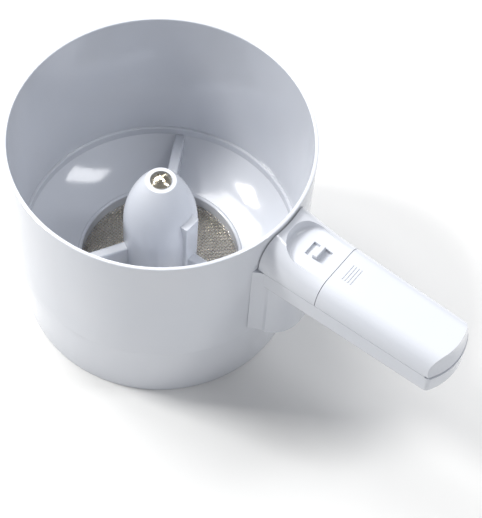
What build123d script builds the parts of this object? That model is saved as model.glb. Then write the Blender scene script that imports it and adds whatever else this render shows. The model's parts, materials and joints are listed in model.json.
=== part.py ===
from build123d import *
import math
import os

# Battery-driven flour sifter. Millimetres, +Z up. The origin is on the cup's axis at the level of the
# table, and the handle runs out along +X.

# ---- cup ----
CUP_HEIGHT = 112.0
RIM_RADIUS = 70.0
RIM_INNER_RADIUS = 68.2
STEP_Z = 39.0
STEP_RADIUS = 69.5
STEP_INSET = 1.1
BASE_RADIUS = 66.2
BASE_INNER_RADIUS = 64.7
SEAT_Z = 29.5
SEAT_RADIUS = 66.6
SEAT_INNER_RADIUS = 65.6

# ---- funnel, spider arms and tower, one moulding ----
FUNNEL_LIP_Z = 33.0
FUNNEL_LIP_RADIUS = 65.2
FUNNEL_TOP_Z = 28.8
FUNNEL_SKIN = 2.0
HOLE_RADIUS = 38.4
HOLE_RING_RADIUS = 40.4
HOLE_RING_Z = 17.4
SKIRT_BOTTOM_Z = 10.95
ARM_WIDTH = 5.0
ARM_TOP_Z = 34.5
ARM_BOTTOM_Z = 17.5
ARM_LEVEL_RADIUS = 40.0
ARM_END_RADIUS = 64.9
ARM_ANGLES = (0, 120, 240)
TOWER_RADIUS = 17.8
TOWER_INNER_RADIUS = 16.0
TOWER_TOP_Z = 79.0
TOWER_TOP_RADIUS = 7.3
DOME_START_Z = 46.0
TOWER_ROOF = 2.4
CONDUIT_HALF_WIDTH = 4.5
CONDUIT_FACE_X = 19.3
CONDUIT_TOP_Z = 60.5

# ---- drive ----
MODULE = 0.4
SMALL_TEETH = 10
LARGE_TEETH = 32
PRESSURE_ANGLE = math.radians(20)
BACKLASH = 0.10
CENTRE_DISTANCE = MODULE * (SMALL_TEETH + LARGE_TEETH) / 2
COVER_BOTTOM_Z = 17.6
COVER_TOP_Z = 20.0
OUTPUT_GEAR_Z = (23.4, 26.4)
COMPOUND_SMALL_Z = (22.9, 28.6)
COMPOUND_LARGE_Z = (28.6, 31.2)
MOTOR_PINION_Z = (28.2, 31.4)
MOTOR_PLATE_Z = (32.0, 33.6)
SCREW_SEAT_Z = 18.7
MOTOR_RADIUS = 12.0
MOTOR_CAN_TOP_Z = 56.0
END_CAP_TOP_Z = 58.5
BRACKET_TOP_Z = 66.0
OUTPUT_SHAFT_RADIUS = 2.0
RUNNING_GAP = 0.05

# ---- screen and agitator ----
SCREEN_Z = (10.4, 10.9)
SCREEN_RADIUS = 40.3
BLADE_ANGLE = 128.5
BLADE_LENGTH = 36.4

# ---- handle ----
SPLIT_Z = 91.0
SHELL_GAP = 0.3
HANDLE_BOTTOM_Z = 79.0
HANDLE_TOP_Z = 102.7
CROWN_RISE = 6.55
CROWN_STEP = 0.15
SEAM_X = 98.0
TIP_SHOULDER_X = 157.0
TIP_X = 161.6
TIP_GAP = 1.2
ROOT_HALF_WIDTH = 17.2
SEAM_HALF_WIDTH = 16.6
TIP_HALF_WIDTH = 15.45
SHOULDER_Z = 92.0
SHOULDER_WIDTH = 8.0
ROOT_SHOULDER_WIDTH = 10.0
SCOOP_SETBACK = 1.9
SCOOP_DEPTH = 0.6
CUTTER_WIDTH = (-20.0, 20.0)
HANDLE_WALL = 1.3
BOSS_BOTTOM_Z = 44.0
BOSS_HALF_WIDTH = 16.6
BOSS_FRONT_X = 83.5
RECESS_HALF_WIDTH = 11.0
RECESS_APEX_X = 74.0
WINDOW_X = (82.4, 92.2)
WINDOW_HALF_WIDTH = 3.8
SLIDER_TOP_Z = 101.2
SLIDER_BOTTOM_Z = 99.75
SLIDER_HALF_LENGTH = 7.1
KNOB_X = (86.3, 88.5)
STEM_SLOT_X = (84.6, 90.2)
RIDGES = 4
RIDGE_X = 102.4
RIDGE_PITCH = 1.45
SCREW_POST_X = 77.0
SCREW_POST_Y = 9.5

# ---- batteries, two AA cells side by side ----
CELL_RADIUS = 7.0
CELL_LENGTH = 49.5
CELL_NUB = 1.0
CELL_Y = 7.04
CELL_Z = 90.0
BAY_X = (100.6, 153.8)
TRAY_WALL = 1.4
RAIL_Y = (11.4, 13.3)
RAIL_Z = (95.6, 96.5)

# ---- wiring ----
WIRE_RADIUS = 0.55
WIRE_Y = 0.8
CHANNEL_HALF_WIDTH = 1.6

os.makedirs("parts", exist_ok=True)


def save(node, shape):
    """Write one sub-part."""
    export_step(shape, f"parts/{node}.step")


def turned(points):
    """A solid of revolution about Z from (radius, height) points."""
    outline = Polyline(*points, close=True)
    return revolve(make_face(Plane.XZ * outline), Axis.Z)


def tube(outer, inner, bottom, top):
    """A plain ring about the Z axis."""
    return turned([(inner, bottom), (outer, bottom), (outer, top), (inner, top)])


def disc(radius, bottom, top):
    """A plain round bar about the Z axis."""
    return Pos(0, 0, (bottom + top) / 2) * Cylinder(radius, top - bottom)


def block(x, y, z):
    """A box from three (low, high) pairs."""
    centre = [(low + high) / 2 for low, high in (x, y, z)]
    size = [high - low for low, high in (x, y, z)]
    return Pos(*centre) * Box(*size)


def cylinder_x(radius, x, y, z):
    """A round bar along X from x[0] to x[1]."""
    length = x[1] - x[0]
    return Pos((x[0] + x[1]) / 2, y, z) * Rot(0, 90, 0) * Cylinder(radius, length)


def around(shape, angles):
    """Copies of a shape turned about Z, as one group."""
    return [Rot(0, 0, angle) * shape for angle in angles]


# ------------------------------------------------------------------ cup


def base_wall_radius(z):
    """Outer radius of the inset lower band."""
    top = STEP_RADIUS - STEP_INSET
    return BASE_RADIUS + (top - BASE_RADIUS) * z / STEP_Z


def half_width(x):
    """Half the handle's width, which tapers in two straight runs."""
    if x <= SEAM_X:
        share = (x - RIM_RADIUS) / (SEAM_X - RIM_RADIUS)
        return ROOT_HALF_WIDTH + (SEAM_HALF_WIDTH - ROOT_HALF_WIDTH) * share
    share = (x - SEAM_X) / (TIP_SHOULDER_X - SEAM_X)
    return SEAM_HALF_WIDTH + (TIP_HALF_WIDTH - SEAM_HALF_WIDTH) * share


def cup_wall():
    """The round wall: rolled rim, outside step above the lower band, inside seat for the funnel."""
    rim_round = 0.5
    outline = [
        (BASE_INNER_RADIUS, 0.0),
        (BASE_RADIUS - 0.5, 0.0),
        (BASE_RADIUS, 0.5),
        (base_wall_radius(STEP_Z), STEP_Z),
        (STEP_RADIUS - 0.35, STEP_Z),
        (STEP_RADIUS, STEP_Z + 0.35),
        (RIM_RADIUS, CUP_HEIGHT - rim_round),
        (RIM_RADIUS - rim_round * 0.3, CUP_HEIGHT - rim_round * 0.3),
        (RIM_RADIUS - rim_round, CUP_HEIGHT),
        (RIM_INNER_RADIUS + rim_round, CUP_HEIGHT),
        (RIM_INNER_RADIUS + rim_round * 0.3, CUP_HEIGHT - rim_round * 0.3),
        (RIM_INNER_RADIUS, CUP_HEIGHT - rim_round),
        (SEAT_RADIUS, FUNNEL_LIP_Z),
        (SEAT_RADIUS, SEAT_Z),
        (SEAT_INNER_RADIUS, SEAT_Z),
    ]
    return turned(outline)


def boss_plan(half, front, corner, flare):
    """Plan outline of the boss: flared where it meets the cup, rounded at the front."""
    root = 67.0
    start = 71.5
    tip = Vector(front, 0)
    side = Vector(front - corner, half)
    side_low = Vector(front - corner, -half)
    blend = 0.3 * flare
    edges = Line((root, -half - flare), (root, half + flare))
    edges += ThreePointArc((root, half + flare), (start - blend, half + blend), (start + flare * 0.5, half))
    edges += Line((start + flare * 0.5, half), side)
    edges += ThreePointArc(side, (front - corner * 0.22, half * 0.62), tip)
    edges += ThreePointArc(tip, (front - corner * 0.22, -half * 0.62), side_low)
    edges += Line(side_low, (start + flare * 0.5, -half))
    bend = (start - blend, -half - blend)
    edges += ThreePointArc((start + flare * 0.5, -half), bend, (root, -half - flare))
    return make_face(edges)


def handle_plan(inset, start):
    """Plan outline of the handle from x = start to its bowed tip."""
    shoulder = TIP_SHOULDER_X - inset * 0.4
    wide = half_width(TIP_SHOULDER_X) - inset
    root = half_width(max(start, RIM_RADIUS)) - inset
    seam = SEAM_HALF_WIDTH - inset
    tip = (TIP_X - inset, 0)
    edges = Line((start, -root), (start, root))
    if start < SEAM_X:
        edges += Line((start, root), (SEAM_X, seam))
        edges += Line((SEAM_X, -seam), (start, -root))
        edges += Line((SEAM_X, seam), (shoulder, wide))
        edges += Line((shoulder, -wide), (SEAM_X, -seam))
    else:
        edges += Line((start, root), (shoulder, wide))
        edges += Line((shoulder, -wide), (start, -root))
    edges += ThreePointArc((shoulder, wide), tip, (shoulder, -wide))
    return make_face(edges)


def rounded_tip(solid, radius):
    """Round the two upright corners at the handle's tip."""
    corners = [e for e in solid.edges().filter_by(Axis.Z) if abs(e.center().X - TIP_SHOULDER_X) < 1.5]
    return fillet(corners, radius)


def handle_trough():
    """The lower half of the handle, open at the top, moulded with the cup."""
    body = Pos(0, 0, HANDLE_BOTTOM_Z) * extrude(handle_plan(0, 66.0), SPLIT_Z - HANDLE_BOTTOM_Z)
    body = rounded_tip(body, 2.8)
    bottom = body.faces().sort_by(Axis.Z)[0]
    edges = [e for e in bottom.edges() if e.center().X > 67.0]
    body = fillet(edges, 2.7)
    floor = HANDLE_BOTTOM_Z + HANDLE_WALL
    inner = Pos(0, 0, floor) * extrude(handle_plan(HANDLE_WALL, 66.0), SPLIT_Z - floor + 1)
    inner = rounded_tip(inner, 2.2)
    inner_bottom = inner.faces().sort_by(Axis.Z)[0]
    inner_edges = [e for e in inner_bottom.edges() if e.center().X > 67.0]
    inner = fillet(inner_edges, 2.0)
    return body, inner


def cup_body():
    """Cup wall, boss and lower handle as one moulding, hollow right through for the wires."""
    wall = cup_wall()
    trough, trough_inside = handle_trough()
    boss = extrude(boss_plan(BOSS_HALF_WIDTH, BOSS_FRONT_X, 9.0, 3.2), SPLIT_Z - BOSS_BOTTOM_Z)
    boss = Pos(0, 0, BOSS_BOTTOM_Z) * boss
    cavity_z = BOSS_BOTTOM_Z + 1.8
    cavity = extrude(boss_plan(BOSS_HALF_WIDTH - 1.8, BOSS_FRONT_X - 1.8, 8.0, 0.2), SPLIT_Z - cavity_z)
    cavity = Pos(0, 0, cavity_z) * cavity
    keep_wall = disc(RIM_RADIUS + 0.6, 0, CUP_HEIGHT)
    inside = disc(RIM_RADIUS - 1.2, 0, CUP_HEIGHT)
    handle = trough + boss - inside
    body = wall + handle
    body -= (trough_inside + cavity) - keep_wall
    gap_low = SPLIT_Z - TIP_GAP / 2
    body -= block((TIP_SHOULDER_X - 2, TIP_X + 1), CUTTER_WIDTH, (gap_low, SPLIT_Z + 1))
    wire_hole = block((60, 72), (-2.4, 2.4), (55.0, 59.6))
    body -= wire_hole
    for side in (-1, 1):
        post = Pos(SCREW_POST_X, side * SCREW_POST_Y, (HANDLE_BOTTOM_Z + 84.0) / 2)
        body += post * Cylinder(4.2, 84.0 - HANDLE_BOTTOM_Z - 1.0)
        well = Pos(SCREW_POST_X, side * SCREW_POST_Y, 0)
        body -= well * disc(3.1, BOSS_BOTTOM_Z - 1, 81.6)
        body -= well * disc(1.7, 80, 85)
    return body


# ------------------------------------------------------------------ funnel moulding


def dome_radius(z, inset=0.0):
    """Radius of the tower's rounded shoulder at a height."""
    run = TOWER_RADIUS - TOWER_TOP_RADIUS
    rise = TOWER_TOP_Z - DOME_START_Z
    bend = (run * run + rise * rise) / (2 * run)
    return TOWER_RADIUS - bend + math.sqrt(bend * bend - (z - DOME_START_Z) ** 2) - inset


def tower_solid(radius, top, inset, bottom):
    """Straight column with a rounded shoulder and a flat top."""
    middle_z = (DOME_START_Z + top) / 2
    edges = Line((0, bottom), (radius, bottom))
    edges += Line((radius, bottom), (radius, DOME_START_Z))
    edges += ThreePointArc(
        (radius, DOME_START_Z),
        (dome_radius(middle_z, inset), middle_z),
        (dome_radius(top, inset), top),
    )
    edges += Line((dome_radius(top, inset), top), (0, top))
    edges += Line((0, top), (0, bottom))
    return revolve(make_face(Plane.XZ * edges), Axis.Z)


def funnel_skin():
    """The bowl from its lip at the cup wall down to the ring round the hole."""
    ring_out = HOLE_RING_RADIUS
    sag = 1.7
    edges = Line((65.0, FUNNEL_TOP_Z), (FUNNEL_LIP_RADIUS, FUNNEL_LIP_Z - 0.3))
    edges += Line((FUNNEL_LIP_RADIUS, FUNNEL_LIP_Z - 0.3), (FUNNEL_LIP_RADIUS + 0.3, FUNNEL_LIP_Z))
    edges += Line((FUNNEL_LIP_RADIUS + 0.3, FUNNEL_LIP_Z), (SEAT_RADIUS - 0.05, FUNNEL_LIP_Z))
    edges += Line((SEAT_RADIUS - 0.05, FUNNEL_LIP_Z), (SEAT_RADIUS - 0.05, SEAT_Z))
    edges += Line((SEAT_RADIUS - 0.05, SEAT_Z), (SEAT_INNER_RADIUS - 0.1, SEAT_Z))
    edges += Line((SEAT_INNER_RADIUS - 0.1, SEAT_Z), (SEAT_INNER_RADIUS - 0.1, FUNNEL_TOP_Z - FUNNEL_SKIN))
    low_start = (SEAT_INNER_RADIUS - 0.1, FUNNEL_TOP_Z - FUNNEL_SKIN)
    edges += ThreePointArc(low_start, (53.5, 21.0 - FUNNEL_SKIN), (ring_out, 14.4))
    edges += Line((ring_out, 14.4), (ring_out, SKIRT_BOTTOM_Z))
    edges += Line((ring_out, SKIRT_BOTTOM_Z), (HOLE_RADIUS, SKIRT_BOTTOM_Z))
    edges += Line((HOLE_RADIUS, SKIRT_BOTTOM_Z), (HOLE_RADIUS, HOLE_RING_Z - 0.6))
    edges += ThreePointArc(
        (HOLE_RADIUS, HOLE_RING_Z - 0.6),
        ((HOLE_RADIUS + ring_out) / 2, HOLE_RING_Z),
        (ring_out, HOLE_RING_Z - 0.7),
    )
    edges += ThreePointArc((ring_out, HOLE_RING_Z - 0.7), (53.5, 21.0 + 0.1), (65.0, FUNNEL_TOP_Z))
    return revolve(make_face(Plane.XZ * edges), Axis.Z)


def spider_arm():
    """One rib from the tower to the lip: level, then bending down into the bowl."""
    end = (ARM_END_RADIUS, FUNNEL_TOP_Z + 0.3)
    edges = Line((TOWER_INNER_RADIUS + 0.5, ARM_BOTTOM_Z), (TOWER_INNER_RADIUS + 0.5, ARM_TOP_Z))
    edges += Line((TOWER_INNER_RADIUS + 0.5, ARM_TOP_Z), (ARM_LEVEL_RADIUS, ARM_TOP_Z))
    edges += ThreePointArc((ARM_LEVEL_RADIUS, ARM_TOP_Z), (54.5, 32.7), end)
    edges += Line(end, (ARM_END_RADIUS, ARM_BOTTOM_Z))
    edges += Line((ARM_END_RADIUS, ARM_BOTTOM_Z), (TOWER_INNER_RADIUS + 0.5, ARM_BOTTOM_Z))
    half = ARM_WIDTH / 2
    arm = extrude(make_face(Plane.XZ * edges), amount=half, both=True)
    top_edges = [
        e
        for e in arm.edges()
        if e.center().Z > FUNNEL_TOP_Z and abs(abs(e.center().Y) - half) < 0.01 and e.length > 15
    ]
    return fillet(top_edges, 0.9)


def conduit():
    """The raised wire duct on the handle side of the tower."""
    x_inner = TOWER_INNER_RADIUS - 4
    half = CONDUIT_HALF_WIDTH
    duct = block((x_inner, CONDUIT_FACE_X), (-half, half), (ARM_BOTTOM_Z, CONDUIT_TOP_Z))
    upright = duct.edges().filter_by(Axis.Z).group_by(Axis.X)[-1]
    duct = fillet(upright, 0.8)
    return duct


def funnel_tower():
    """Funnel, three arms, tower shell, wire duct and screen lugs as one moulding."""
    tower = tower_solid(TOWER_RADIUS, TOWER_TOP_Z, 0, ARM_BOTTOM_Z)
    inside_top = TOWER_TOP_Z - TOWER_ROOF
    hollow = tower_solid(TOWER_INNER_RADIUS, inside_top, TOWER_RADIUS - TOWER_INNER_RADIUS, 0)
    body = funnel_skin()
    for arm in around(spider_arm(), ARM_ANGLES):
        body += arm
    body += tower + conduit()
    body -= hollow
    body -= disc(1.8, inside_top - 1, TOWER_TOP_Z + 1)
    duct_hole = block((14, 17.6), (-2.6, 2.6), (ARM_BOTTOM_Z - 1, 58.8))
    channel = block((14, 64.3), (-CHANNEL_HALF_WIDTH, CHANNEL_HALF_WIDTH), (ARM_BOTTOM_Z - 1, 24.6))
    riser_slot = block((60.9, 64.3), (-CHANNEL_HALF_WIDTH, CHANNEL_HALF_WIDTH), (ARM_BOTTOM_Z - 1, 36))
    lug = disc(3.2, SKIRT_BOTTOM_Z, 16.2)
    for angle in (60, 180, 300):
        body += Rot(0, 0, angle) * Pos(43.4, 0, 0) * lug
    body -= duct_hole + channel + riser_slot
    for angle in (60, 180, 300):
        body -= Rot(0, 0, angle) * Pos(43.4, 0, 0) * disc(1.25, SKIRT_BOTTOM_Z - 1, 15.2)
    return body


def riser_cover(funnel):
    """Box on the cup's inner wall that hides the wires as they climb from the arm to the handle."""
    outer = block((59.6, 70), (-4.2, 4.2), (FUNNEL_TOP_Z - 4, 62.0))
    outer = fillet(outer.edges().filter_by(Axis.Z).group_by(Axis.X)[0], 1.2)
    inner = block((60.9, 70), (-2.8, 2.8), (FUNNEL_TOP_Z - 6, 60.6))
    clear_of_wall = [
        (0, 24.2),
        (59.0, 23.8),
        (62.0, 26.0),
        (65.1, 28.2),
        (65.1, FUNNEL_LIP_Z),
        (SEAT_RADIUS - 0.1, FUNNEL_LIP_Z),
        (67.15, 64),
        (0, 64),
    ]
    inside_cup = turned(clear_of_wall)
    return ((outer - inner) & inside_cup) - funnel


# ------------------------------------------------------------------ gears


def involute(angle):
    """The involute function."""
    return math.tan(angle) - angle


def gear_face(teeth, phase, addendum):
    """Gear outline with involute flanks; phase is the angle of one tooth's centre in degrees."""
    pitch = MODULE * teeth / 2
    base = pitch * math.cos(PRESSURE_ANGLE)
    tip = pitch + addendum * MODULE
    root = pitch - 1.2 * MODULE
    half_at_pitch = math.pi / (2 * teeth) - BACKLASH / 2 / (2 * pitch)
    flank_start = max(base, root + 0.02)
    steps = 4
    flank = []
    for i in range(steps + 1):
        radius = flank_start + (tip - flank_start) * i / steps
        pressure = math.acos(min(1.0, base / radius))
        flank.append((radius, half_at_pitch + involute(PRESSURE_ANGLE) - involute(pressure)))
    foot = flank[0][1]
    points = []
    for tooth in range(teeth):
        centre = math.radians(phase) + 2 * math.pi * tooth / teeth
        polar = [(root, centre - foot)]
        polar += [(radius, centre - half) for radius, half in flank]
        polar += [(radius, centre + half) for radius, half in reversed(flank)]
        polar += [(root, centre + foot)]
        points += [(radius * math.cos(a), radius * math.sin(a)) for radius, a in polar]
    return make_face(Polyline(*points, close=True))


def gear(teeth, phase, z, addendum):
    """A spur gear between two heights."""
    return Pos(0, 0, z[0]) * extrude(gear_face(teeth, phase, addendum), z[1] - z[0])


def output_gear():
    """Large gear on the agitator's shaft, with a gap facing the side axle."""
    wheel = gear(LARGE_TEETH, 90 + 180 / LARGE_TEETH, OUTPUT_GEAR_Z, 0.8)
    wheel += disc(3.6, OUTPUT_GEAR_Z[0] - 0.3, OUTPUT_GEAR_Z[0])
    return wheel - disc(OUTPUT_SHAFT_RADIUS, 20, 30)


def compound_gear():
    """Large wheel driven by the motor and small pinion driving the output gear, on the side axle."""
    wheel = gear(LARGE_TEETH, 270 + 180 / LARGE_TEETH, COMPOUND_LARGE_Z, 0.8)
    wheel += gear(SMALL_TEETH, 270, COMPOUND_SMALL_Z, 0.9)
    wheel -= disc(0.8 + RUNNING_GAP, 20, 33)
    return Pos(0, CENTRE_DISTANCE, 0) * wheel


def motor_pinion():
    """Small pinion on the motor shaft, a tooth facing the side axle."""
    pinion = gear(SMALL_TEETH, 90, MOTOR_PINION_Z, 0.9)
    return pinion - disc(1.0, 20, 40)


# ------------------------------------------------------------------ drive unit


def post_places():
    """Places of the three posts that carry the motor plate."""
    return [Pos(12.9 * math.cos(a), 12.9 * math.sin(a), 0) for a in map(math.radians, (205, 270, 335))]


def gearbox_cover():
    """Disc that closes the foot of the tower and carries the bush, the side axle and three posts."""
    cover = disc(TOWER_INNER_RADIUS - 0.05, COVER_BOTTOM_Z, COVER_TOP_Z)
    cover += disc(5.2, COVER_TOP_Z, 22.4)
    for place in post_places():
        cover += place * disc(2.1, COVER_TOP_Z - 1, MOTOR_PLATE_Z[0])
        cover -= place * disc(0.8, COVER_BOTTOM_Z - 1, MOTOR_PLATE_Z[0] + 1)
        cover -= place * disc(1.5, COVER_BOTTOM_Z - 1, SCREW_SEAT_Z)
    cover += Pos(0, CENTRE_DISTANCE, 0) * disc(2.0, COVER_TOP_Z, 22.6)
    cover -= Pos(0, CENTRE_DISTANCE, 0) * disc(0.8, 18.6, 24)
    cover -= disc(3.5, 0, 30)
    return cover


def motor_plate():
    """Plate above the gears that the motor stands on."""
    plate = disc(15.7, *MOTOR_PLATE_Z) - disc(3.1, 30, 35)
    plate -= Pos(0, CENTRE_DISTANCE, 0) * disc(0.8, 30, 35)
    plate -= block((11.5, 17), (-3.2, 3.2), (30, 35))
    for place in post_places():
        plate -= place * disc(0.8, 30, MOTOR_PLATE_Z[1] - 0.4)
    return plate


def screw(shank, head, length, head_height, drive):
    """Pan-head screw pointing down, its head's seat at z = 0; drive is the recess's half width."""
    edges = Line((0, -length), (shank * 0.6, -length))
    edges += Line((shank * 0.6, -length), (shank, -length + shank))
    edges += Line((shank, -length + shank), (shank, 0))
    edges += Line((shank, 0), (head, 0))
    edges += Line((head, 0), (head, head_height * 0.25))
    mid = head * 0.62
    mid_z = head_height * (0.25 + 0.75 * (1 - (0.62**2)))
    edges += ThreePointArc((head, head_height * 0.25), (mid, mid_z), (0, head_height))
    edges += Line((0, head_height), (0, -length))
    body = revolve(make_face(Plane.XZ * edges), Axis.Z)
    depth = head_height * 0.45
    slot = block((-head - 1, head + 1), (-drive, drive), (head_height - depth, head_height + 1))
    cross = block((-drive, drive), (-head * 0.5, head * 0.5), (head_height - depth * 1.4, head_height + 1))
    return body - slot - cross


def tower_screw():
    """The bright screw on the tower's flat top, its slot turned off the handle's line."""
    return Pos(0, 0, TOWER_TOP_Z) * Rot(0, 0, 79) * screw(1.45, 5.0, 9.5, 2.3, 0.55)


def motor_can():
    """Drawn steel can, closed at the shaft end."""
    can = disc(MOTOR_RADIUS, MOTOR_PLATE_Z[1], MOTOR_CAN_TOP_Z)
    can = fillet(can.edges().sort_by(Axis.Z)[0], 0.8)
    can -= disc(MOTOR_RADIUS - 0.9, MOTOR_PLATE_Z[1] + 1.0, MOTOR_CAN_TOP_Z + 1)
    return can - disc(2.6, 30, 36)


def motor_magnets():
    """Two arc magnets inside the can."""
    shell = tube(MOTOR_RADIUS - 0.95, 9.2, 37.0, 54.0)
    gap = block((-20, 20), (-4.5, 4.5), (30, 60))
    return shell - gap


def motor_rotor():
    """Three-pole wound armature with its commutator."""
    core = disc(3.2, 39.0, 52.0)
    for angle in (30, 150, 270):
        pole = block((2, 7.4), (-1.6, 1.6), (40.0, 51.0))
        shoe = tube(8.6, 7.2, 39.5, 51.5) & block((0, 9), (-5.2, 5.2), (39, 52))
        coil = block((3.2, 7.0), (-3.1, 3.1), (39.2, 51.8))
        core += Rot(0, 0, angle) * (pole + shoe + coil)
    core += disc(2.2, 52.0, 55.2)
    return core - disc(1.0, 30, 60)


def motor_end_cap():
    """Nylon cap with the rear bearing hole."""
    cap = disc(MOTOR_RADIUS - 0.95, 55.6, 57.2) + disc(MOTOR_RADIUS, MOTOR_CAN_TOP_Z, END_CAP_TOP_Z)
    cap -= tube(8.6, 3.0, 55.0, 57.0)
    cap -= disc(1.0 + RUNNING_GAP, 50, 57.8)
    return cap - disc(2.6, 50, 55.9)


def motor_terminals():
    """Two solder tabs that stand on the end cap."""
    tab = block((6.0, 6.6), (-1.3, 1.3), (END_CAP_TOP_Z, 62.0))
    return [Pos(0, side * 3.2, 0) * tab for side in (-1, 1)]


def motor_bracket():
    """Cup over the motor: its boss takes the tower screw, its foot clamps the can to the plate."""
    shell = turned(
        [
            (MOTOR_RADIUS + 0.1, MOTOR_PLATE_Z[1]),
            (13.5, MOTOR_PLATE_Z[1]),
            (13.5, 60.5),
            (11.9, BRACKET_TOP_Z),
            (3.6, BRACKET_TOP_Z),
            (3.6, TOWER_TOP_Z - TOWER_ROOF),
            (1.5, TOWER_TOP_Z - TOWER_ROOF),
            (1.5, BRACKET_TOP_Z - 1.8),
            (10.9, BRACKET_TOP_Z - 1.8),
            (MOTOR_RADIUS + 0.1, 60.0),
        ]
    )
    window = block((5, 16), (-5.2, 5.2), (54.5, 63.5))
    return shell - window


def drive_fixings():
    """Three screws from below, through the cover's posts into the motor plate."""
    length = MOTOR_PLATE_Z[1] - 0.45 - SCREW_SEAT_Z
    fixing = Pos(0, 0, SCREW_SEAT_Z) * Rot(180, 0, 0) * screw(0.8, 1.35, length, 0.9, 0.2)
    return [place * fixing for place in post_places()]


# ------------------------------------------------------------------ screen and agitator


def agitator():
    """Two swept blades on a hub that turn just above the screen."""
    hub = disc(5.6, 11.9, 16.4)
    blade_plan = Line((0, 2.0), (20, 2.4))
    blade_plan += ThreePointArc((20, 2.4), (29, 1.6), (BLADE_LENGTH, -1.2))
    blade_plan += Line((BLADE_LENGTH, -1.2), (BLADE_LENGTH - 1.0, -3.4))
    blade_plan += ThreePointArc((BLADE_LENGTH - 1.0, -3.4), (28, -0.9), (20, -0.2))
    blade_plan += Line((20, -0.2), (0, -0.8))
    blade_plan += Line((0, -0.8), (0, 2.0))
    blade = Pos(0, 0, 11.5) * extrude(make_face(blade_plan), 3.2)
    for angle in (BLADE_ANGLE, BLADE_ANGLE + 180):
        hub += Rot(0, 0, angle) * blade
    hub -= disc(4.2, 11, 11.9)
    return hub - disc(OUTPUT_SHAFT_RADIUS, 11, 18)


def retaining_clip():
    """E-clip in the shaft's groove under the agitator's hub."""
    clip = tube(3.6, 1.6, 11.35, 11.8)
    return clip - block((0, 5), (-1.2, 1.2), (11, 12))


def output_shaft():
    """Steel shaft with a groove for the clip."""
    shaft = disc(OUTPUT_SHAFT_RADIUS, 11.1, 27.2)
    return shaft - tube(3, 1.6, 11.3, 11.85)


def screen_ring():
    """Ring that clamps the screen, with three screw lugs."""
    ring = tube(42.4, HOLE_RADIUS - 0.4, 8.0, SCREEN_Z[0])
    ring += tube(42.4, SCREEN_RADIUS + 0.1, SCREEN_Z[0], SKIRT_BOTTOM_Z)
    ring = ring - tube(41, HOLE_RADIUS - 2, SCREEN_Z[1] + 0.04, 20)
    for angle in (60, 180, 300):
        lug = Rot(0, 0, angle) * Pos(43.4, 0, 0)
        ring += lug * disc(3.2, 8.0, SKIRT_BOTTOM_Z) - disc(SCREEN_RADIUS + 0.1, 0, 20)
    for angle in (60, 180, 300):
        ring -= Rot(0, 0, angle) * Pos(43.4, 0, 0) * disc(1.5, 7, 12)
    return ring


def screen_screws():
    """Three screws from below through the ring's lugs."""
    one = Pos(43.4, 0, 8.0) * Rot(180, 0, 0) * screw(1.2, 2.4, 6.5, 1.4, 0.3)
    return around(one, (60, 180, 300))


# ------------------------------------------------------------------ handle shells


def handle_section(x, half, bottom, top, shoulder):
    """Cross-section of the upper handle at x: flat top and elliptical shoulders down to the split."""
    flat = half - shoulder
    drop = top - SHOULDER_Z
    edges = Line((-half, bottom), (-half, SHOULDER_Z))
    edges += EllipticalCenterArc((-flat, SHOULDER_Z), shoulder, drop, 90, arc_size=90)
    edges += Line((-flat, top), (flat, top))
    edges += EllipticalCenterArc((flat, SHOULDER_Z), shoulder, drop, 0, arc_size=90)
    edges += Line((half, SHOULDER_Z), (half, bottom))
    edges += Line((half, bottom), (-half, bottom))
    return make_face(Plane.YZ.offset(x) * edges)


def crown(x):
    """Height of the top shell, which sweeps up towards the rim."""
    share = (SEAM_X - x) / (SEAM_X - RIM_RADIUS)
    return HANDLE_TOP_Z + CROWN_STEP + CROWN_RISE * max(0.0, share) ** 2


def shoulder_width(x):
    """Width of the top shell's rounded shoulders, larger near the cup."""
    share = (SEAM_X - x) / (SEAM_X - RIM_RADIUS)
    return SHOULDER_WIDTH + (ROOT_SHOULDER_WIDTH - SHOULDER_WIDTH) * share


def top_shell_solid(inset, bottom, end):
    """Loft of the front top shell through evenly spaced sections."""
    stations = (66.0, 74.0, 82.0, 90.0, end)
    faces = [
        handle_section(
            x,
            half_width(max(x, RIM_RADIUS)) - inset,
            bottom,
            crown(x) - inset,
            shoulder_width(x) - inset / 2,
        )
        for x in stations
    ]
    return loft(faces)


def recess_cutter(grow, floor):
    """Thumb recess: parallel sides, rounded towards the cup, open towards the battery cover."""
    half = RECESS_HALF_WIDTH + grow
    bend_x = 82.0
    apex = RECESS_APEX_X - grow
    far = SEAM_X + 8
    edges = Line((far, -half), (far, half))
    edges += Line((far, half), (bend_x, half))
    edges += ThreePointArc((bend_x, half), (apex + 2.3, half * 0.68), (apex, 0))
    edges += ThreePointArc((apex, 0), (apex + 2.3, -half * 0.68), (bend_x, -half))
    edges += Line((bend_x, -half), (far, -half))
    cutter = Pos(0, 0, floor) * extrude(make_face(edges), 14, taper=-14)
    low = [e for e in cutter.edges() if abs(e.center().Z - floor) < 0.01 and e.center().X < far - 1]
    return fillet(low, 1.5)


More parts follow.
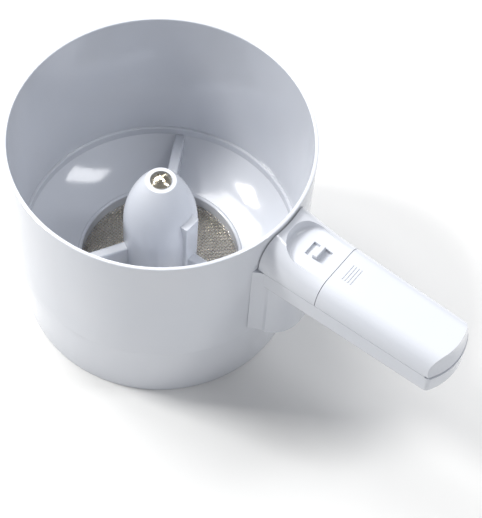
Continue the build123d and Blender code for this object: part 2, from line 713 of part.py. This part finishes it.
def handle_top_shell():
    """Front shell with the thumb recess, the switch pocket and two screw posts."""
    wall = 1.6
    body = top_shell_solid(0, SPLIT_Z + SHELL_GAP, SEAM_X)
    body -= recess_cutter(0, HANDLE_TOP_Z)
    hollow = top_shell_solid(wall, SPLIT_Z - 1, SEAM_X - 1.4)
    hollow -= recess_cutter(wall, HANDLE_TOP_Z - 3.2)
    body -= hollow
    body -= disc(RIM_RADIUS + 0.45, 0, CUP_HEIGHT + 5)
    body -= block(WINDOW_X, (-WINDOW_HALF_WIDTH, WINDOW_HALF_WIDTH), (95, 110))
    body -= block((78.2, SEAM_X - 1.4), (-4.8, 4.8), (95, SLIDER_TOP_Z + 0.15))
    for side in (-1, 1):
        place = Pos(SCREW_POST_X, side * SCREW_POST_Y, 0)
        body += place * disc(3.0, 84.0, 100.0)
        body -= place * disc(1.25, 83, 93)
    return body


def handle_screws():
    """Two screws from below through the boss into the shell's posts."""
    one = Rot(180, 0, 0) * screw(1.2, 2.8, 10.0, 1.6, 0.35)
    return [Pos(SCREW_POST_X, side * SCREW_POST_Y, 81.6) * one for side in (-1, 1)]


def scooped_end(inset):
    """What lies on the cup's side of the cover's hollowed end face, which is turned about an upright axis."""
    rise = TIP_X - TIP_SHOULDER_X
    bow = (TIP_HALF_WIDTH**2 + rise**2) / (2 * rise)
    low = bow - inset
    high = low - SCOOP_SETBACK
    middle = (low + high) / 2 - SCOOP_DEPTH
    edges = Line((0, SPLIT_Z - 4), (low, SPLIT_Z - 4))
    edges += Line((low, SPLIT_Z - 4), (low, SPLIT_Z))
    edges += ThreePointArc((low, SPLIT_Z), (middle, (SPLIT_Z + HANDLE_TOP_Z) / 2), (high, HANDLE_TOP_Z))
    edges += Line((high, HANDLE_TOP_Z), (high, HANDLE_TOP_Z + 3))
    edges += Line((high, HANDLE_TOP_Z + 3), (0, HANDLE_TOP_Z + 3))
    edges += Line((0, HANDLE_TOP_Z + 3), (0, SPLIT_Z - 4))
    axis_x = TIP_X - bow
    end = Pos(axis_x, 0, 0) * revolve(make_face(Plane.XZ * edges), Axis.Z)
    return end + block((SEAM_X - 6, axis_x), CUTTER_WIDTH, (SPLIT_Z - 4, HANDLE_TOP_Z + 3))


def cover_solid(inset, first, bottom):
    """Straight-sided body of the battery cover with its scooped end."""
    places = (first, TIP_X + 4)
    faces = [
        handle_section(x, half_width(x) - inset, bottom, HANDLE_TOP_Z - inset, SHOULDER_WIDTH - inset / 2)
        for x in places
    ]
    return loft(faces, ruled=True) & scooped_end(inset * 1.2)


def battery_cover():
    """Long sliding cover with a scooped end, grip ridges and two lips that run under the tray's rails."""
    start = SEAM_X + SHELL_GAP
    outer = cover_solid(0, start, SPLIT_Z + SHELL_GAP)
    body = outer - cover_solid(1.3, start - 2, SPLIT_Z - 2)
    for y in ((12.9, 17.0), (-17.0, -12.9)):
        lip = block((102.0, 152.0), y, (RAIL_Z[0] - 1.7, RAIL_Z[0] - 0.3))
        body += lip & outer
    for i in range(RIDGES):
        x = RIDGE_X + RIDGE_PITCH * i
        body += block((x, x + 0.45), (-4.5, 4.5), (HANDLE_TOP_Z - 0.2, HANDLE_TOP_Z + 0.25))
    gap_high = SPLIT_Z + SHELL_GAP + TIP_GAP / 2
    tip = block((TIP_SHOULDER_X - 2, TIP_X + 1), CUTTER_WIDTH, (SPLIT_Z - 1, gap_high))
    return body - tip


# ------------------------------------------------------------------ switch


def switch_knob():
    """Cross rib that the thumb pushes, on a plate that fills the window from below, and a stem."""
    middle = (KNOB_X[0] + KNOB_X[1]) / 2
    plate_x = (middle - SLIDER_HALF_LENGTH, middle + SLIDER_HALF_LENGTH)
    plate = block(plate_x, (-4.6, 4.6), (SLIDER_BOTTOM_Z, SLIDER_TOP_Z))
    half = WINDOW_HALF_WIDTH - 0.3
    rib = block(KNOB_X, (-half, half), (SLIDER_TOP_Z - 0.2, 104.6))
    rib = fillet(rib.edges().group_by(Axis.Z)[-1], 0.4)
    stem = block((KNOB_X[0] + 0.3, KNOB_X[1] - 0.3), (-1.3, 1.3), (96.6, SLIDER_BOTTOM_Z + 0.1))
    return plate + rib + stem


def switch_body():
    """Slide switch below the window, its slot open for the stem."""
    body = block((81.9, 92.9), (-4.0, 4.0), (93.2, 98.2))
    return body - block(STEM_SLOT_X, (-1.7, 1.7), (96.2, 99))


def switch_terminals():
    """Three solder pins under the switch."""
    return [block((x, x + 0.8), (-0.7, 0.7), (90.2, 93.2)) for x in (83.7, 87.0, 90.3)]


def switch_frame():
    """Moulded cradle that holds the switch and the slider's plate up under the shell."""
    frame = block((80.4, 94.4), (-5.4, 5.4), (94.0, 99.45))
    frame -= block((81.8, 93.0), (-4.1, 4.1), (90, 98.3))
    return frame - block(STEM_SLOT_X, (-1.7, 1.7), (98, 100))


# ------------------------------------------------------------------ batteries


def cell(side):
    """One AA cell; side -1 has its nub towards the tip, side 1 towards the cup."""
    wrap = 0.5
    if side < 0:
        start = BAY_X[1] - CELL_NUB - CELL_LENGTH
        body = cylinder_x(CELL_RADIUS, (start, BAY_X[1] - CELL_NUB), -CELL_Y, CELL_Z)
        nub = cylinder_x(2.7, (BAY_X[1] - CELL_NUB - 0.1, BAY_X[1]), -CELL_Y, CELL_Z)
    else:
        start = BAY_X[0] + CELL_NUB
        body = cylinder_x(CELL_RADIUS, (start, start + CELL_LENGTH), CELL_Y, CELL_Z)
        nub = cylinder_x(2.7, (BAY_X[0], start + 0.1), CELL_Y, CELL_Z)
    ends = [e for e in body.edges() if e.geom_type == GeomType.CIRCLE]
    return fillet(ends, wrap) + nub


def battery_tray():
    """Cradle for the cells: floor, two end walls, three saddles and the cover's rails."""
    near = (BAY_X[0] - 0.4 - TRAY_WALL, BAY_X[0] - 0.4)
    far = (BAY_X[1] + 0.4, BAY_X[1] + 0.4 + TRAY_WALL)
    low = HANDLE_BOTTOM_Z + HANDLE_WALL + 0.05
    tray = block((near[0], far[1]), (-9.6, 9.6), (low, low + TRAY_WALL))
    tray += block(near, (-13.3, 13.3), (84.0, RAIL_Z[1]))
    for x, half in ((near, 12.2), (far, 11.0)):
        tray += block(x, (-9.6, 9.6), (low, RAIL_Z[1]))
        tray += block(x, (-half, half), (84.0, RAIL_Z[1]))
    for x in (112.0, 127.0, 142.0):
        saddle = block((x, x + TRAY_WALL), (-12.0, 12.0), (low, 86.5))
        for side in (-1, 1):
            saddle -= cylinder_x(CELL_RADIUS + 0.05, (x - 1, x + 3), side * CELL_Y, CELL_Z)
        tray += saddle
    for side in (-1, 1):
        y = sorted((side * RAIL_Y[0], side * RAIL_Y[1]))
        tray += block((near[0], far[0] - 1.5), y, RAIL_Z)
        tray -= cylinder_x(0.8, (near[0] - 1, near[1] + 1), side * CELL_Y, CELL_Z - 3.8)
    return tray


def contact_plates():
    """Two plates at the cup end and one link plate at the tip end."""
    half = 5.6
    z = (CELL_Z - 5.5, CELL_Z + 5.5)
    plates = []
    for side in (-1, 1):
        y = (side * CELL_Y - half, side * CELL_Y + half)
        plates.append(block((BAY_X[0] - 0.35, BAY_X[0] - 0.02), y, z))
    plates.append(block((BAY_X[1] + 0.02, BAY_X[1] + 0.35), (-CELL_Y - half, CELL_Y + half), z))
    return plates


def coil_spring(x, y):
    """Compressed spring of round wire between a plate and a cell."""
    turns_pitch = 0.85
    path = Helix(turns_pitch, 1.9, 3.6)
    section = Plane(origin=path @ 0, z_dir=path % 0) * Circle(0.28)
    coil = sweep(section, path)
    return Pos(x, y, CELL_Z) * Rot(0, 90, 0) * coil


def contact_springs():
    """One spring behind each cell's flat end."""
    return [coil_spring(BAY_X[0] + 0.4, -CELL_Y), coil_spring(BAY_X[1] - 2.3, CELL_Y)]


# ------------------------------------------------------------------ wiring


def wire(points, bends):
    """A round wire along straight runs joined by arcs."""
    path = FilletPolyline(*points, radius=bends)
    section = Plane(origin=path @ 0, z_dir=path % 0) * Circle(WIRE_RADIUS)
    return sweep(section, path)


def drive_wire(side, last):
    """From a motor tab down the tower, along the arm, up the riser and into the boss."""
    y = side * WIRE_Y
    points = [
        (6.7, side * 3.2, 60.6),
        (10.8, side * 3.2, 60.6),
        (14.2, side * 1.6, 58.6),
        (15.3, y, 53.0),
        (15.3, y, 22.0),
        (62.6, y, 22.0),
        (62.6, y, 57.3),
        (75.5, y, 57.3),
    ]
    points += last
    return wire(points, 1.4)


def switch_feed_wire():
    """Motor wire that ends on the switch's first pin."""
    return drive_wire(1, [(75.5, WIRE_Y, 88.0), (84.1, 0.0, 88.0), (84.1, 0.0, 90.17)])


def battery_return_wire():
    """Motor wire that ends on the battery's spring plate."""
    z = CELL_Z - 3.8
    end_x = BAY_X[0] - 0.36
    run = [(75.5, -WIRE_Y, z), (80.0, -WIRE_Y, z), (92.0, -CELL_Y, z), (end_x, -CELL_Y, z)]
    return drive_wire(-1, run)


def battery_feed_wire():
    """Short wire from the other battery plate to the switch's middle pin."""
    z = CELL_Z - 3.8
    end_x = BAY_X[0] - 0.36
    return wire([(87.4, 0.0, 90.17), (87.4, 0.0, z), (94.0, CELL_Y, z), (end_x, CELL_Y, z)], 0.9)


def wire_channel_cover():
    """Strip that closes the arm's wire channel from below."""
    half = CHANNEL_HALF_WIDTH - 0.05
    return block((17.9, 63.9), (-half, half), (ARM_BOTTOM_Z + 0.1, ARM_BOTTOM_Z + 1.4))


# ------------------------------------------------------------------ write every node


def main():
    funnel = funnel_tower()
    single = {
        "cup_body": cup_body(),
        "funnel_tower": funnel,
        "wire_riser_cover": riser_cover(funnel),
        "wire_channel_cover": wire_channel_cover(),
        "tower_screw": tower_screw(),
        "gearbox_cover": gearbox_cover(),
        "motor_plate": motor_plate(),
        "motor_bracket": motor_bracket(),
        "motor_can": motor_can(),
        "motor_end_cap": motor_end_cap(),
        "motor_front_bearing": tube(2.55, 1.0 + RUNNING_GAP, 32.2, 34.8),
        "motor_rotor": motor_rotor(),
        "motor_shaft": disc(1.0, MOTOR_PINION_Z[0], 57.6),
        "motor_pinion": motor_pinion(),
        "side_axle": Pos(0, CENTRE_DISTANCE, 0) * disc(0.8, 18.6, MOTOR_PLATE_Z[1]),
        "compound_gear": compound_gear(),
        "output_gear": output_gear(),
        "output_shaft": output_shaft(),
        "output_bush": tube(3.5, OUTPUT_SHAFT_RADIUS + RUNNING_GAP, COVER_BOTTOM_Z + 0.6, 22.8),
        "shaft_seal": tube(3.5, OUTPUT_SHAFT_RADIUS + 0.1, 17.0, COVER_BOTTOM_Z + 0.6),
        "agitator": agitator(),
        "retaining_clip": retaining_clip(),
        "mesh_screen": disc(SCREEN_RADIUS, *SCREEN_Z),
        "screen_ring": screen_ring(),
        "handle_top_shell": handle_top_shell(),
        "battery_cover": battery_cover(),
        "switch_knob": switch_knob(),
        "switch_body": switch_body(),
        "switch_frame": switch_frame(),
        "battery_left": cell(1),
        "battery_right": cell(-1),
        "battery_tray": battery_tray(),
        "switch_feed_wire": switch_feed_wire(),
        "battery_return_wire": battery_return_wire(),
        "battery_feed_wire": battery_feed_wire(),
    }
    groups = {
        "motor_magnets": [motor_magnets()],
        "motor_terminals": motor_terminals(),
        "gearbox_screws": drive_fixings(),
        "screen_screws": screen_screws(),
        "handle_screws": handle_screws(),
        "switch_terminals": switch_terminals(),
        "contact_plates": contact_plates(),
        "contact_springs": contact_springs(),
    }
    for node, shape in single.items():
        save(node, shape)
    for node, shapes in groups.items():
        save(node, Compound(children=list(shapes)))


main()
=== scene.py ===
"""Battery-driven flour sifter: looks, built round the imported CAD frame. Metres, +Z up, handle along +X."""

import json
import math

import bmesh
import bpy
from mathutils import Matrix, Vector


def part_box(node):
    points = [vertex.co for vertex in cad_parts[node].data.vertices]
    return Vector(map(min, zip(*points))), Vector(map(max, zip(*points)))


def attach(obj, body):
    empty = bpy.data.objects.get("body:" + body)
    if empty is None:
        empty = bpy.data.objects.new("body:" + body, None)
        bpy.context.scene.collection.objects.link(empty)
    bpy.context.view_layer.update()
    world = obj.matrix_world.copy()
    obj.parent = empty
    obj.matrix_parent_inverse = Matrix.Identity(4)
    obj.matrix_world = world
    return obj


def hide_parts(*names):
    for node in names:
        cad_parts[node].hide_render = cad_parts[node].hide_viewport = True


MM = 0.001

# ---- camera: distance and elevation from a point on the cup's axis, then small turns of the view ----
AIM_HEIGHT = 60.0 * MM
DISTANCE = 790.2 * MM
ELEVATION = math.radians(55.22)
YAW = -0.048
PITCH = -0.032
ROLL = -0.012
HANDLE_TURN = math.radians(38.5)
LENS = 117.18

# ---- woven screen ----
WEAVE_PITCH = 1.35 * MM
WEAVE_WIRE = 0.18 * MM
WEAVE_RISE = 0.12 * MM
WIRE_SIDES = 5

# ---- shading and stage ----
SHARP_ANGLE = 28.0
LIGHT_AIM = (0.0, 0.0, 0.06)
FLOOR_HALF_SIZE = 6.0
FLOOR_DROP = 0.05 * MM
WORLD_COLOUR = (0.94, 0.955, 1.0, 1.0)
WORLD_STRENGTH = 0.43

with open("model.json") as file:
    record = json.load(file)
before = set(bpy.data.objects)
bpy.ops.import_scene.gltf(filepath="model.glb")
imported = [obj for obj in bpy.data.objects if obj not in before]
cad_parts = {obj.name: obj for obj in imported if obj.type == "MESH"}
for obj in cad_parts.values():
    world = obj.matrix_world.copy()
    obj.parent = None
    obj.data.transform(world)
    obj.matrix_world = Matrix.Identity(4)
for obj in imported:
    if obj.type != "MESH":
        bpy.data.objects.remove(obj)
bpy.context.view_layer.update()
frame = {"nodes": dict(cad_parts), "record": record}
NODES = frame["nodes"]


# ------------------------------------------------------------------ materials


class Shader:
    """A Principled material under construction, with short ways to add nodes and links."""

    def __init__(self, name, colour, roughness, **inputs):
        self.material = bpy.data.materials.new(name)
        self.material.use_nodes = True
        self.tree = self.material.node_tree
        self.bsdf = self.tree.nodes["Principled BSDF"]
        self.bsdf.inputs["Base Color"].default_value = (*colour, 1.0)
        self.bsdf.inputs["Roughness"].default_value = roughness
        for key, value in inputs.items():
            self.bsdf.inputs[key.replace("_", " ")].default_value = value
        self.place = self.tree.nodes.new("ShaderNodeTexCoord")

    def node(self, kind, **settings):
        made = self.tree.nodes.new(kind)
        for key, value in settings.items():
            if hasattr(made, key):
                setattr(made, key, value)
            else:
                made.inputs[key.replace("_", " ")].default_value = value
        return made

    def link(self, source, target):
        self.tree.links.new(source, target)

    def noise(self, scale, detail=2.0):
        made = self.node("ShaderNodeTexNoise", Scale=scale, Detail=detail)
        self.link(self.place.outputs["Object"], made.inputs["Vector"])
        return made.outputs["Fac"]

    def spread(self, source, low, high):
        """Maps 0.3..0.7 of a noise to low..high."""
        made = self.node("ShaderNodeMapRange")
        made.inputs["From Min"].default_value = 0.3
        made.inputs["From Max"].default_value = 0.7
        made.inputs["To Min"].default_value = low
        made.inputs["To Max"].default_value = high
        self.link(source, made.inputs["Value"])
        return made.outputs["Result"]

    def vary_roughness(self, scale, low, high):
        self.link(self.spread(self.noise(scale), low, high), self.bsdf.inputs["Roughness"])

    def vary_colour(self, scale, dark, light):
        ramp = self.node("ShaderNodeValToRGB")
        ramp.color_ramp.elements[0].position = 0.35
        ramp.color_ramp.elements[1].position = 0.65
        ramp.color_ramp.elements[0].color = (*dark, 1.0)
        ramp.color_ramp.elements[1].color = (*light, 1.0)
        self.link(self.noise(scale, 3.0), ramp.inputs["Fac"])
        self.link(ramp.outputs["Color"], self.bsdf.inputs["Base Color"])

    def bump(self, source, distance, strength=1.0):
        made = self.node("ShaderNodeBump", Strength=strength, Distance=distance)
        self.link(source, made.inputs["Height"])
        self.link(made.outputs["Normal"], self.bsdf.inputs["Normal"])


def white_shell():
    """Glossy injection-moulded ABS: faint flow ripple, faint clouding, patchy polish."""
    s = Shader("white_shell", (0.635, 0.655, 0.70), 0.12, IOR=1.54)
    s.vary_colour(22.0, (0.62, 0.645, 0.695), (0.64, 0.66, 0.705))
    s.vary_roughness(60.0, 0.09, 0.14)
    s.bump(s.noise(140.0, 3.0), 0.02 * MM, 0.35)
    return s.material


def white_nylon():
    """Matt natural nylon of the inner mouldings."""
    s = Shader("white_nylon", (0.74, 0.74, 0.71), 0.5)
    s.vary_colour(90.0, (0.70, 0.70, 0.66), (0.77, 0.77, 0.74))
    s.vary_roughness(240.0, 0.42, 0.58)
    s.bump(s.noise(1500.0), 0.01 * MM, 0.4)
    return s.material


def metal(name, dark, light, low, high, grain=900.0, bump=0.004):
    """Bare or plated metal with fine tool grain."""
    s = Shader(name, light, low, Metallic=1.0)
    s.vary_colour(grain * 0.3, dark, light)
    s.vary_roughness(grain, low, high)
    s.bump(s.noise(grain * 2.0), bump * MM, 0.5)
    return s.material


def plain(name, dark, light, low, high, grain=400.0, bump=0.01):
    """Non-metal with small changes of colour, polish and surface."""
    s = Shader(name, light, low)
    s.vary_colour(grain * 0.4, dark, light)
    s.vary_roughness(grain, low, high)
    s.bump(s.noise(grain * 3.0), bump * MM, 0.5)
    return s.material


def copper_winding():
    """Varnished copper: ripples along the turns."""
    s = Shader("copper_winding", (0.62, 0.27, 0.12), 0.35, Metallic=1.0)
    wave = s.node("ShaderNodeTexWave", Scale=900.0, Distortion=0.4)
    wave.bands_direction = "Z"
    s.link(s.place.outputs["Object"], wave.inputs["Vector"])
    s.vary_colour(300.0, (0.50, 0.20, 0.08), (0.70, 0.32, 0.15))
    s.bump(wave.outputs["Fac"], 0.05 * MM, 0.8)
    return s.material


def make_materials():
    """One material for each slot of the record."""
    return {
        "white_shell": white_shell(),
        "white_nylon": white_nylon(),
        "nickel_screw": metal("nickel_screw", (0.34, 0.31, 0.25), (0.56, 0.52, 0.43), 0.10, 0.20),
        "steel_mesh": metal("steel_mesh", (0.50, 0.45, 0.38), (0.74, 0.68, 0.59), 0.20, 0.34),
        "bare_steel": metal("bare_steel", (0.42, 0.43, 0.45), (0.58, 0.59, 0.60), 0.22, 0.36),
        "brass": metal("brass", (0.58, 0.42, 0.18), (0.76, 0.60, 0.30), 0.22, 0.36),
        "copper_winding": copper_winding(),
        "dark_ferrite": plain("dark_ferrite", (0.03, 0.03, 0.035), (0.08, 0.08, 0.085), 0.5, 0.7),
        "black_rubber": plain("black_rubber", (0.015, 0.015, 0.015), (0.035, 0.035, 0.035), 0.6, 0.8),
        "black_plastic": plain("black_plastic", (0.02, 0.02, 0.02), (0.045, 0.045, 0.045), 0.38, 0.5),
        "plated_spring": metal("plated_spring", (0.52, 0.51, 0.47), (0.68, 0.67, 0.63), 0.16, 0.28),
        "cell_wrap": plain("cell_wrap", (0.035, 0.04, 0.055), (0.07, 0.08, 0.10), 0.2, 0.3, 120.0),
        "red_wire": plain("red_wire", (0.42, 0.02, 0.015), (0.58, 0.04, 0.03), 0.35, 0.45),
        "black_wire": plain("black_wire", (0.015, 0.015, 0.015), (0.035, 0.035, 0.035), 0.35, 0.45),
    }


MATERIALS = make_materials()


def dress(obj, slot):
    """Gives a new piece the material of one of the record's slots."""
    obj.data.materials.clear()
    obj.data.materials.append(MATERIALS[slot])
    return obj


def dress_cad():
    """Puts the materials on the CAD nodes and shades their curved faces smoothly."""
    slots = {entry["node"]: entry["material_slot"] for entry in frame["record"]["subparts"]}
    for name, obj in NODES.items():
        material = MATERIALS[slots[name]]
        if not obj.material_slots:
            obj.data.materials.append(material)
        for place in obj.material_slots:
            place.material = material
        smooth(obj, SHARP_ANGLE)


def smooth(obj, angle):
    """Smooth shading up to an angle between faces, flat faces kept flat beside small rounds."""
    obj.data.shade_smooth()
    obj.data.set_sharp_from_angle(angle=math.radians(angle))
    weighted = obj.modifiers.new("weighted_normals", "WEIGHTED_NORMAL")
    weighted.keep_sharp = True
    weighted.weight = 80


# ------------------------------------------------------------------ mesh helpers


def new_object(name, bm, body):
    """Turns a bmesh into a piece that rides on a CAD body."""
    bmesh.ops.recalc_face_normals(bm, faces=bm.faces)
    data = bpy.data.meshes.new(name)
    bm.to_mesh(data)
    bm.free()
    obj = bpy.data.objects.new(name, data)
    bpy.context.scene.collection.objects.link(obj)
    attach(obj, body)
    return obj


def tube_along(bm, points, radius, sides):
    """A closed round tube along points, all rings square to the average direction."""
    rings = []
    for i, point in enumerate(points):
        ahead = points[min(i + 1, len(points) - 1)]
        behind = points[max(i - 1, 0)]
        along = (ahead - behind).normalized()
        side = along.cross(Vector((0, 0, 1))).normalized()
        up = side.cross(along)
        ring = []
        for k in range(sides):
            turn = 2 * math.pi * k / sides
            ring.append(bm.verts.new(point + radius * (math.cos(turn) * side + math.sin(turn) * up)))
        rings.append(ring)
    for a, b in zip(rings, rings[1:]):
        for k in range(sides):
            n = (k + 1) % sides
            bm.faces.new((a[k], a[n], b[n], b[k]))
    bm.faces.new(rings[0])
    bm.faces.new(list(reversed(rings[-1])))


# ------------------------------------------------------------------ woven screen


def woven_screen():
    """Plain-weave wire cloth cut round: each wire goes over one crossing wire and under the next."""
    low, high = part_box("mesh_screen")
    radius = (high.x - low.x) / 2 - WEAVE_WIRE
    middle = (low.z + high.z) / 2
    bm = bmesh.new()
    count = int(radius / WEAVE_PITCH)
    for direction in (0, 1):
        for row in range(-count, count + 1):
            offset = row * WEAVE_PITCH
            reach = math.sqrt(max(0.0, radius * radius - offset * offset))
            steps = int(reach / (WEAVE_PITCH / 2))
            if steps < 2:
                continue
            points = []
            for k in range(-steps, steps + 1):
                along = k * WEAVE_PITCH / 2
                wave = math.cos(math.pi * (along / WEAVE_PITCH + row + direction))
                height = middle + WEAVE_RISE * wave
                place = (along, offset, height) if direction == 0 else (offset, along, height)
                points.append(Vector(place))
            tube_along(bm, points, WEAVE_WIRE, WIRE_SIDES)
    obj = new_object("screen_cloth", bm, "sifter_body")
    obj.data.shade_smooth()
    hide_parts("mesh_screen")
    return dress(obj, "steel_mesh")


# ------------------------------------------------------------------ stage


def add_floor():
    """Large pale floor that fades into the background."""
    bm = bmesh.new()
    bmesh.ops.create_grid(bm, x_segments=2, y_segments=2, size=FLOOR_HALF_SIZE)
    data = bpy.data.meshes.new("floor")
    bm.to_mesh(data)
    bm.free()
    floor = bpy.data.objects.new("floor", data)
    floor.location.z = -FLOOR_DROP
    bpy.context.scene.collection.objects.link(floor)
    s = Shader("floor_paper", (0.80, 0.80, 0.79), 0.75)
    s.vary_colour(3.0, (0.795, 0.795, 0.785), (0.805, 0.805, 0.795))
    floor.data.materials.append(s.material)


def aimed(place, target):
    """Matrix that puts a light at place, its face towards target."""
    direction = Vector(target) - Vector(place)
    turn = direction.to_track_quat("-Z", "Y").to_matrix().to_4x4()
    return Matrix.Translation(Vector(place)) @ turn


def area_light(name, place, target, size, power, colour):
    """Soft rectangular light. Places are in the camera's own frame of left, right, near and far."""
    data = bpy.data.lights.new(name, "AREA")
    data.shape = "RECTANGLE"
    data.size, data.size_y = size
    data.energy = power
    data.color = colour
    lamp = bpy.data.objects.new(name, data)
    bpy.context.scene.collection.objects.link(lamp)
    turn = Matrix.Rotation(HANDLE_TURN, 4, "Z")
    lamp.matrix_world = turn @ aimed(place, target)


def add_lights():
    """Key from the left, broad light overhead, tall box on the right for the gloss, pale world."""
    area_light("key", (-0.73, 0.13, 1.00), LIGHT_AIM, (0.24, 0.20), 10.0, (1.0, 0.99, 0.97))
    area_light("overhead", (-0.45, 0.65, 1.25), LIGHT_AIM, (0.8, 0.8), 15.0, (1.0, 0.99, 0.98))
    area_light("right_box", (0.70, -0.12, 1.05), LIGHT_AIM, (0.20, 0.55), 3.6, (0.97, 0.98, 1.0))
    world = bpy.data.worlds.new("studio")
    world.use_nodes = True
    world.node_tree.nodes["Background"].inputs["Color"].default_value = WORLD_COLOUR
    world.node_tree.nodes["Background"].inputs["Strength"].default_value = WORLD_STRENGTH
    bpy.context.scene.world = world
    bpy.context.scene.view_settings.view_transform = "Standard"


def add_camera():
    """Camera on its own frame, turned with the handle, then yawed, pitched and rolled a little."""
    eye = Vector((0.0, -DISTANCE * math.cos(ELEVATION), AIM_HEIGHT + DISTANCE * math.sin(ELEVATION)))
    forward = Vector((0.0, math.cos(ELEVATION), -math.sin(ELEVATION)))
    right = Vector((1.0, 0.0, 0.0))
    up = right.cross(forward)
    yaw = Matrix.Rotation(YAW, 3, up)
    forward, right = yaw @ forward, yaw @ right
    pitch = Matrix.Rotation(PITCH, 3, right)
    forward, up = pitch @ forward, pitch @ up
    roll = Matrix.Rotation(ROLL, 3, forward)
    right, up = roll @ right, roll @ up
    facing = Matrix((right, up, -forward)).transposed().to_4x4()
    data = bpy.data.cameras.new("camera")
    data.lens = LENS
    data.sensor_width = 36.0
    data.clip_start = 0.05
    data.clip_end = 50.0
    camera = bpy.data.objects.new("camera", data)
    bpy.context.scene.collection.objects.link(camera)
    camera.matrix_world = Matrix.Rotation(HANDLE_TURN, 4, "Z") @ Matrix.Translation(eye) @ facing
    bpy.context.scene.camera = camera


add_camera()
add_floor()
add_lights()
dress_cad()
woven_screen()
